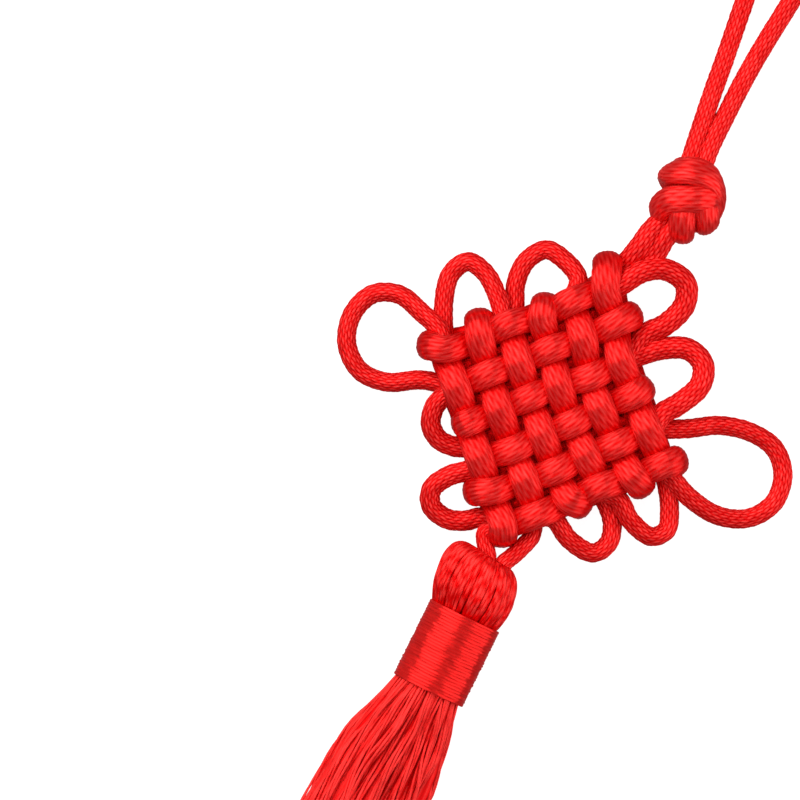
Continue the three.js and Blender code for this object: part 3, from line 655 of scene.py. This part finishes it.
def lock(piece, centre, outward, plies, pitch, relief):
    """Threads lying side by side along a centre line; those on the outward side are painted the brightest,
    as lit.
    """
    along = distances(centre)
    side = flat_side(centre)
    rise = unit(np.cross(side, tangents(centre)))
    start, tone = random.uniform(0, 2 * np.pi), random.uniform(0, 1)
    for ply in range(plies):
        wander = PLY_WANDER * np.sin(along / PLY_WANDER_LENGTH + random.uniform(0, WAVE_START))
        angle = start + 2 * np.pi * (ply / plies + along / pitch) + wander
        wave = np.sin(along / random.uniform(*PLY_REACH_LENGTHS) + random.uniform(0, WAVE_START))
        reach = LOCK_SPREAD * (PLY_REACH + PLY_REACH_WAVE * wave)
        place = (reach * np.cos(angle))[:, None] * side + (reach * np.sin(angle))[:, None] * rise
        points = centre + place
        points[:, 2] = np.maximum(points[:, 2], THREAD / 2)
        outside = np.einsum("ij,ij->i", place, outward)
        light = relief * (PLY_LIGHT + PLY_LIGHT_GAIN * outside / LOCK_SPREAD)
        shade = np.clip(tone + random.normal(0, PLY_TONE), 0, 1)
        yarn(piece, points, light, shade, **SKIRT_YARN)


def head_threads(piece):
    """The folded hank: bundles that rise out of the dent, cross the shoulder and go into the binding."""
    down, radius, centre = (np.array([s[key] for s in HEAD_PROFILE]) for key in ("down", "radius", "centre"))
    way_down = np.linspace(0, 1, len(down))
    above = np.clip((HEAD_TOP - down - BINDING_TOP) / (HEAD_TOP - BINDING_TOP), 0, 1)
    for layer in HEAD_LAYERS:
        for i in range(layer["bundles"]):
            across = random.uniform(-BUNDLE_SPREAD["across"], BUNDLE_SPREAD["across"])
            angle = 2 * np.pi * (i + across) / layer["bundles"]
            slant = HEAD_SLANT + HEAD_SLANT_WAVE * math.sin(3 * angle + 1)
            slant += random.normal(0, BUNDLE_SPREAD["slant"])
            bundle = angle + slant * way_down + HEAD_SWING * np.sin(4 * way_down + 2 * angle)
            lumps = HEAD_LUMPS * (math.sin(5 * angle + 0.6) + math.sin(9 * angle))
            lift = lumps + random.normal(0, BUNDLE_SPREAD["lift"])
            for j in range(layer["threads"]):
                off = (j + 0.5) / layer["threads"] - 0.5 + random.normal(0, THREAD_SPREAD["across"])
                off = off + random.normal(0, THREAD_SPREAD["slant"]) * (way_down - 0.5)
                off = off + HEAD_WAVER * np.sin(7 * way_down + random.uniform(0, WAVE_START))
                here = bundle + off * 2 * np.pi / layer["bundles"]
                crown = HEAD_CROWN * np.clip(2 * off, -1, 1) ** 2
                bulk = radius + layer["lift"] + lift - HEAD_THREAD / 2 - crown
                bulk = bulk + random.normal(0, THREAD_SPREAD["lift"], len(down))
                bulk[0] = radius[0]
                x = centre + bulk * np.cos(here)
                z = AXIS_HEIGHT + HEAD_FLATTEN * bulk * np.sin(here)
                y = HEAD_TOP - down - HEAD_TILT * above * (x - AXIS_X)
                _, points, dark = spaced(spline(np.column_stack([x, y, z])), HEAD_STEP, spline_column(crown))
                points[:, 2] = np.maximum(points[:, 2], HEAD_THREAD / 2)
                # The thread's painted light: dark in the dent and at the binding, and darker at the bundle's
                # edges, as shade
                relief = layer["relief"] * head_light(len(points))
                relief = relief * (1 - CROWN_PAINTED_SHADE * np.clip(dark / HEAD_CROWN, 0, 1))
                yarn(piece, points, relief, random.uniform(0, 1), **HEAD_YARN)


def head_light(count):
    """A head thread's light at each point from the dent to the binding."""
    places = [*HEAD_LIGHT_PLACES, random.uniform(*HEAD_LIGHT_FALL), 1]
    return np.interp(np.linspace(0, 1, count), places, HEAD_LIGHT)


def spline_column(values):
    """A column of station values on the same steps as spline gives their points."""
    steps = np.linspace(0, len(values) - 1, SPAN_STEPS * (len(values) - 1) + 1)
    return np.interp(steps, np.arange(len(values)), values)


def head_core(piece):
    """A plain body under the head's threads, so that no light passes between them; it is painted the darkest
    red, as shade.
    """
    down, radius, centre = (
        np.array([s[key] for s in HEAD_PROFILE[1:]])[:, None] for key in ("down", "radius", "centre"))
    angle = -2 * np.pi * np.arange(HEAD_CORE_SIDES) / HEAD_CORE_SIDES
    x = centre + (radius - HEAD_CORE_DEPTH) * np.cos(angle)
    z = AXIS_HEIGHT + HEAD_FLATTEN * (radius - HEAD_CORE_DEPTH) * np.sin(angle)
    y = np.broadcast_to(HEAD_TOP - down - HEAD_CORE_DROP, x.shape)
    places = np.stack([x, y, z], axis=-1)
    piece.add_rings(places, np.zeros(x.shape), np.zeros(x.shape), places * HEAD_CORE_FILAMENT)


def skirt_shape(down):
    """The skirt's half width, half height, lean and middle height at distances below the binding."""
    half_width, half_height, lean = (
        smooth_column(SKIRT_STATIONS, key, down) for key in ("half_width", "half_height", "lean"))
    settle = np.clip((down - SKIRT_START) / SETTLE_LENGTH, 0, 1)
    middle = AXIS_HEIGHT + (half_height + THREAD - AXIS_HEIGHT) * settle
    return half_width, half_height, lean, middle


def skirt_locks():
    """Each lock's share of the way out from the skirt's middle, its centre line, and its way out."""
    down = np.arange(SKIRT_START, SKIRT_LENGTH, LOCK_STEP)
    half_width, half_height, lean, middle = skirt_shape(down)
    free = np.clip(down / LOCK_FREE, 0, 1)
    locks = []
    for i in range(LOCKS):
        share = math.sqrt((i + 0.5) / LOCKS)
        angle = i * GOLDEN_TURN + SWIRL * down / SKIRT_LENGTH
        wave = random.uniform(0, 2 * np.pi, 4)
        length = random.uniform(*LOCK_LENGTHS, 2)
        drift = random.normal(0, LOCK_DRIFT) * np.clip(down / LOCK_DRIFT_LENGTH, 0, 1)
        sway = LOCK_SWAY * np.sin(down / length[0] + wave[0])
        sway = sway + LOCK_RIPPLE * np.sin(down / LOCK_RIPPLE_LENGTH + wave[2])
        heave = LOCK_HEAVE * np.sin(down / length[1] + wave[1])
        heave = heave + LOCK_LIFT * np.sin(down / LOCK_LIFT_LENGTH + wave[3])
        aside = half_width * share * np.cos(angle) + free * (sway + drift)
        x = AXIS_X + lean + np.clip(aside, -LOCK_REACH * half_width, LOCK_REACH * half_width)
        z = middle + half_height * share * np.sin(angle) + free * heave
        y = BINDING_BOTTOM - down * (1 - LOCK_SHORT * random.uniform(0, 1) ** 2)
        outward = unit(np.column_stack([np.cos(angle) / half_width, 0 * down, np.sin(angle) / half_height]))
        locks.append((share, np.column_stack([x, y, np.maximum(z, THREAD)]), outward))
    return locks


def skirt_body(piece):
    """A ribbed body inside the skirt, so that no light passes between its locks; its ribs are painted dark,
    as shade.
    """
    down = np.arange(BODY_START, SKIRT_LENGTH - BODY_SHORT, BODY_STEP)
    half_width, half_height, lean, middle = (column[:, None] for column in skirt_shape(down))
    angle = -2 * np.pi * np.arange(SKIRT_RIBS) / SKIRT_RIBS
    rib = random.uniform(RIB_LOW, 1.0, SKIRT_RIBS)
    x = AXIS_X + lean + SKIRT_BODY[0] * half_width * rib * np.cos(angle)
    z = middle + SKIRT_BODY[1] * half_height * rib * np.sin(angle)
    y = np.broadcast_to(BINDING_BOTTOM - down[:, None], x.shape)
    places = np.stack([x, y, z], axis=-1)
    relief = np.broadcast_to(random.uniform(*RIB_PAINTED_SHADE, SKIRT_RIBS), x.shape)
    piece.add_rings(places, relief, np.full(x.shape, 0.5), places[..., [1, 0, 2]])


def binding(piece):
    """Thread wound round the neck, turn against turn."""
    share = np.arange(BINDING_TURNS * BINDING_RINGS + 1) / BINDING_RINGS
    ridge = np.abs(np.sin(np.pi * share)) ** RIDGE_POWER
    turn = np.minimum(np.floor(share).astype(int), BINDING_TURNS - 1)
    angle = -2 * np.pi * np.arange(BINDING_SIDES) / BINDING_SIDES
    tone = random.uniform(0, 1, BINDING_TURNS)[turn]
    phase = random.uniform(0, 2 * np.pi, (BINDING_TURNS, len(BINDING_WAVES)))[turn]
    uneven = sum(height * np.sin(waves * angle + phase[:, k:k + 1])
                 for k, (waves, height) in enumerate(BINDING_WAVES))
    radius = BINDING_RADIUS - BINDING_RIDGE + (BINDING_RIDGE + uneven) * ridge[:, None]
    length = BINDING_TOP - BINDING_BOTTOM
    sway = BINDING_SWAY * np.sin(2 * angle + 1.0) * np.sin(np.pi * share[:, None] / BINDING_TURNS)
    x = AXIS_X + radius * np.cos(angle)
    y = BINDING_TOP - length * share[:, None] / BINDING_TURNS + sway
    z = np.maximum(AXIS_HEIGHT + radius * np.sin(angle) * AXIS_HEIGHT / BINDING_RADIUS, 0)
    outer = np.stack([x, y, z], axis=-1)
    cap = outer[[0, -1]].copy()
    cap[..., 0] = AXIS_X + (cap[..., 0] - AXIS_X) * BINDING_HOLE
    cap[..., 2] = AXIS_HEIGHT + (cap[..., 2] - AXIS_HEIGHT) * BINDING_HOLE
    places = np.concatenate([cap[:1], outer, cap[1:]])
    around = np.ones(BINDING_SIDES)
    # Painted shade: darker between turns, and darkest at the ends where the binding closes in on the floss;
    # the crests of the turns go to the painted highlight
    relief = np.concatenate([[0], BINDING_PAINTED_SHADE + (1 - BINDING_PAINTED_SHADE) * ridge, [0]])[:, None] * around
    tones = np.concatenate([[0], tone, [0]])[:, None] * around
    arc = np.broadcast_to(BINDING_RADIUS * angle, relief.shape)
    fibre = np.stack([arc, places[..., 1], tones * BINDING_TONE_STEP], axis=-1)
    axis = np.broadcast_to([0.0, 1.0, 0.0], places.shape)
    piece.add_rings(places, relief, tones, fibre, across=axis)


# Materials: the ramp runs from painted shade in the slits between stitches, through the thread's own red, to
# a painted highlight on their crests
RAMP_PLACES = (0.0, 0.45, 1.0)
PAINTED_SHADE_RED = (0.42, 0.0, 0.0008)
MEDIUM = (0.78, 0.002, 0.0025)
PAINTED_HIGHLIGHT_RED = (1.0, 0.055, 0.05)
FLOSS_PAINTED_HIGHLIGHT = (1.0, 0.042, 0.037)
WOUND_PAINTED_HIGHLIGHT = (0.97, 0.025, 0.022)
GLINT = (1.0, 0.18, 0.17)
GLINT_LEVEL = 0.25
TONE_RANGE = (0.9, 1.08)  # from the darkest stitch or thread to the lightest
NOISE_RANGE = (0.3, 0.7)
NOISE_DETAIL = 2.0
FINE = (0.6, 6, 6)  # the filament noise, to the millimetre along the thread and across it
# pale is each thread's painted highlight colour on its crests
THREADS = {
    "satin_float": {"pale": PAINTED_HIGHLIGHT_RED, "filament": FINE, "bump": 0.05, "grain": (0.85, 1.1),
                    "metallic": 0.55, "roughness": 0.4, "anisotropic": 0.92},
    "satin_taut": {"pale": PAINTED_HIGHLIGHT_RED, "filament": FINE, "bump": 0.05, "grain": (0.9, 1.2),
                   "metallic": 0.5, "roughness": 0.36, "anisotropic": 0.92},
    "satin_braid": {"pale": PAINTED_HIGHLIGHT_RED, "filament": FINE, "bump": 0.05, "grain": (0.9, 1.1),
                    "metallic": 0.4, "roughness": 0.45, "anisotropic": 0.5},
    "tassel_floss": {"pale": FLOSS_PAINTED_HIGHLIGHT, "filament": FINE, "bump": 0.05, "grain": (0.8, 1.2),
                     "metallic": 0.45, "roughness": 0.42, "anisotropic": 0.85},
    "binding_thread": {"pale": WOUND_PAINTED_HIGHLIGHT, "filament": (0.5, 6, 1), "bump": 0.06, "grain": (0.85, 1.1),
                       "metallic": 0.6, "roughness": 0.32, "anisotropic": 0.92},
}


def thread_material(name, pale, filament, bump, grain, metallic, roughness, anisotropic):
    """Satin thread: painted shade between stitches and a painted highlight on their crests, with filaments
    along it.
    """
    material = bpy.data.materials.new(name)
    material.use_nodes = True
    nodes, links = material.node_tree.nodes, material.node_tree.links
    shader = nodes["Principled BSDF"]

    def attribute(key):
        node = nodes.new("ShaderNodeAttribute")
        node.attribute_name = key
        return node

    def map_range(source, from_min, from_max, to_min, to_max):
        node = nodes.new("ShaderNodeMapRange")
        limits = {"From Min": from_min, "From Max": from_max, "To Min": to_min, "To Max": to_max}
        for socket, value in limits.items():
            node.inputs[socket].default_value = value
        links.new(source, node.inputs["Value"])
        return node.outputs["Result"]

    stretch = nodes.new("ShaderNodeVectorMath")
    stretch.operation = "MULTIPLY"
    stretch.inputs[1].default_value = filament
    links.new(attribute("fibre").outputs["Vector"], stretch.inputs[0])
    noise = nodes.new("ShaderNodeTexNoise")
    noise.inputs["Scale"].default_value = 1.0
    noise.inputs["Detail"].default_value = NOISE_DETAIL
    links.new(stretch.outputs[0], noise.inputs["Vector"])

    # The ramp paints shade where relief is low and a highlight where it is high
    depth = nodes.new("ShaderNodeValToRGB")
    stops = depth.color_ramp.elements
    stops.new(0.5)
    for stop, place, colour in zip(stops, RAMP_PLACES, (PAINTED_SHADE_RED, MEDIUM, pale)):
        stop.position, stop.color = place, (*colour, 1)
    links.new(attribute("relief").outputs["Fac"], depth.inputs["Fac"])

    both = nodes.new("ShaderNodeMath")
    both.operation = "MULTIPLY"
    links.new(map_range(attribute("tone").outputs["Fac"], 0.0, 1.0, *TONE_RANGE), both.inputs[0])
    links.new(map_range(noise.outputs["Fac"], *NOISE_RANGE, *grain), both.inputs[1])
    tint = nodes.new("ShaderNodeVectorMath")
    tint.operation = "SCALE"
    links.new(depth.outputs["Color"], tint.inputs[0])
    links.new(both.outputs[0], tint.inputs["Scale"])
    links.new(tint.outputs[0], shader.inputs["Base Color"])

    relief = nodes.new("ShaderNodeBump")
    relief.inputs["Strength"].default_value = 1.0
    relief.inputs["Distance"].default_value = bump * MM
    links.new(noise.outputs["Fac"], relief.inputs["Height"])
    links.new(relief.outputs[0], shader.inputs["Normal"])
    links.new(attribute("across").outputs["Vector"], shader.inputs["Tangent"])

    shader.inputs["Metallic"].default_value = metallic
    shader.inputs["Roughness"].default_value = roughness
    shader.inputs["Anisotropic"].default_value = anisotropic
    shader.inputs["Specular IOR Level"].default_value = GLINT_LEVEL
    shader.inputs["Specular Tint"].default_value = (*GLINT, 1)
    return material


materials = {name: thread_material(name, **look) for name, look in THREADS.items()}


# Pieces of the cord
def make_weave():
    for name, is_column in (("weave_columns", True), ("weave_rows", False)):
        strands = Piece()
        for index in range(1, WEAVE + 1):
            weave_strand(strands, is_column, index)
        strands.make(name, materials["satin_float"], "satin_cord", "knotted_cord")
    inner = Piece()
    for k in range(1, WEAVE):
        filler(inner, weave_point(1, k + 0.5), weave_point(WEAVE, k + 0.5))
        filler(inner, weave_point(k + 0.5, 1), weave_point(k + 0.5, WEAVE))
    inner.make("weave_inner_passes", materials["satin_float"], "satin_cord", "knotted_cord")


def make_ears():
    ears = Piece()
    for plan in EARS:
        ear(ears, plan)
    ears.make("ears", materials["satin_braid"], "satin_cord", "knotted_cord")


def make_button_knot():
    knot = Piece()
    button_knot(knot)
    knot.make("button_knot", materials["satin_taut"], "satin_cord", "knotted_cord")


def make_free_runs():
    """The pair from the knot to the weave's top corner, the hanging loop, and the bight in the tassel."""
    top_left = [weave_point(5, 1, MIDDLE - INNER), *TOP_LEFT_ROUTE]
    top_right = [weave_point(WEAVE, 1, MIDDLE - INNER), *TOP_RIGHT_ROUTE]
    bight_start = slot_cell(("left", WEAVE)) + [0, 0, INNER]
    bight_end = slot_cell(("bottom", 2)) - [0, 0, INNER]
    runs = {
        "knot_to_weave_pair": [(top_left, TOP_WIDTH), (top_right, TOP_WIDTH)],
        "hanging_loop": [(LOOP_ROUTE, CORD)],
        "bottom_bight": [([bight_start, *BIGHT_ROUTE, bight_end], BIGHT_WIDTH)],
    }
    for name, cords in runs.items():
        piece = Piece()
        for route, width in cords:
            free_cord(piece, route, width)
        piece.make(name, materials["satin_braid"], "satin_cord", "knotted_cord")


# Pieces of the tassel
def make_head():
    head = Piece()
    head_core(head)
    head_threads(head)
    head.make("tassel_head", materials["tassel_floss"], "tassel_floss", "tassel")


def make_skirt():
    """The skirt in three pieces: the locks that show above and below, and what lies inside them."""
    skirt = {"tassel_skirt_upper": Piece(), "tassel_skirt_lower": Piece(), "tassel_skirt_core": Piece()}
    for share, centre, outward in skirt_locks():
        if share < OUTER_SHARE:
            lock(skirt["tassel_skirt_core"], centre[::2], outward[::2], **INSIDE_LOCK)
            continue
        layer = "tassel_skirt_upper" if outward[0, 2] > 0 else "tassel_skirt_lower"
        # painted light, lighter the farther out the lock lies
        relief = OUTER_PAINTED_LIGHT + OUTER_PAINTED_LIGHT_GAIN * (share - OUTER_SHARE) / (1 - OUTER_SHARE)
        lock(skirt[layer], centre, outward, LOCK_THREADS, random.uniform(*LOCK_PITCHES), relief)
    skirt_body(skirt["tassel_skirt_core"])
    for name, piece in skirt.items():
        piece.make(name, materials["tassel_floss"], "tassel_floss", "tassel")


def make_binding():
    wrap = Piece()
    binding(wrap)
    wrap.make("tassel_binding_thread", materials["binding_thread"], "binding_thread", "tassel_binding")


# Stage: the camera looks straight down, and is rolled as the photograph is
FRAME_WIDTH = 100.0
FRAME_CENTRE = (-19.09, 1.1)  # of the photograph, from the weave's middle, to its right and up
CAMERA_HEIGHT = 900.0
SENSOR = 36.0
CLIP = (0.05, 10.0)  # metres
FLOOR_REACH = 3000.0
FLOOR_LOOK = {"Base Color": (0.3, 0.3, 0.3, 1), "Roughness": 0.9, "Emission Color": (1, 1, 1, 1),
              "Emission Strength": 0.95}
LIGHTS = {
    "key": {"place": (-325, 370, 545), "size": 980, "power": 8.1},
    "fill": {"place": (760, -150, 260), "size": 1150, "power": 6.3},
}
WORLD_STRENGTH = 0.28


def on_photo(right, up, height):
    """A point given in the photograph's directions from the weave's middle."""
    flat = RIGHT * right + UPWARD * up
    return (Vector((flat.x, flat.y, height)) + Vector(SHIFT)) * MM


def make_camera():
    camera = bpy.data.objects.new("camera", bpy.data.cameras.new("camera"))
    bpy.context.scene.collection.objects.link(camera)
    camera.data.sensor_width = SENSOR
    camera.data.lens = SENSOR * CAMERA_HEIGHT / FRAME_WIDTH
    camera.data.clip_start, camera.data.clip_end = CLIP
    camera.location = on_photo(*FRAME_CENTRE, MIDDLE + CAMERA_HEIGHT)
    axes = Matrix((RIGHT, UPWARD, Vector((0, 0, 1)))).transposed()
    camera.rotation_euler = axes.to_euler()
    bpy.context.scene.camera = camera


def make_floor():
    """A pale floor that glows as a lit backdrop does, but lends no colour or light to the part."""
    mesh = bpy.data.meshes.new("floor")
    size = FLOOR_REACH * MM
    corners = [(-size, -size, 0), (size, -size, 0), (size, size, 0), (-size, size, 0)]
    mesh.from_pydata(corners, [], [(0, 1, 2, 3)])
    floor = bpy.data.objects.new("floor", mesh)
    bpy.context.scene.collection.objects.link(floor)
    material = bpy.data.materials.new("floor")
    material.use_nodes = True
    shader = material.node_tree.nodes["Principled BSDF"]
    for socket, value in FLOOR_LOOK.items():
        shader.inputs[socket].default_value = value
    mesh.materials.append(material)
    floor.visible_diffuse = False
    floor.visible_glossy = False


def make_light(name, place, size, power):
    """A square light that faces the weave; its place is in the photograph's directions."""
    light = bpy.data.lights.new(name, "AREA")
    light.shape = "SQUARE"
    light.size = size * MM
    light.energy = power
    lamp = bpy.data.objects.new(name, light)
    bpy.context.scene.collection.objects.link(lamp)
    lamp.location = on_photo(*place)
    target = on_photo(0, 0, MIDDLE)
    lamp.rotation_euler = (lamp.location - target).to_track_quat("Z", "Y").to_euler()


def make_world():
    world = bpy.data.worlds.new("studio")
    world.use_nodes = True
    background = world.node_tree.nodes["Background"]
    background.inputs["Color"].default_value = (1, 1, 1, 1)
    background.inputs["Strength"].default_value = WORLD_STRENGTH
    bpy.context.scene.world = world


make_weave()
make_ears()
make_button_knot()
make_free_runs()
make_head()
make_skirt()
make_binding()

make_camera()
make_floor()
for name, lamp in LIGHTS.items():
    make_light(name, **lamp)
make_world()
bpy.context.scene.view_settings.view_transform = "Standard"
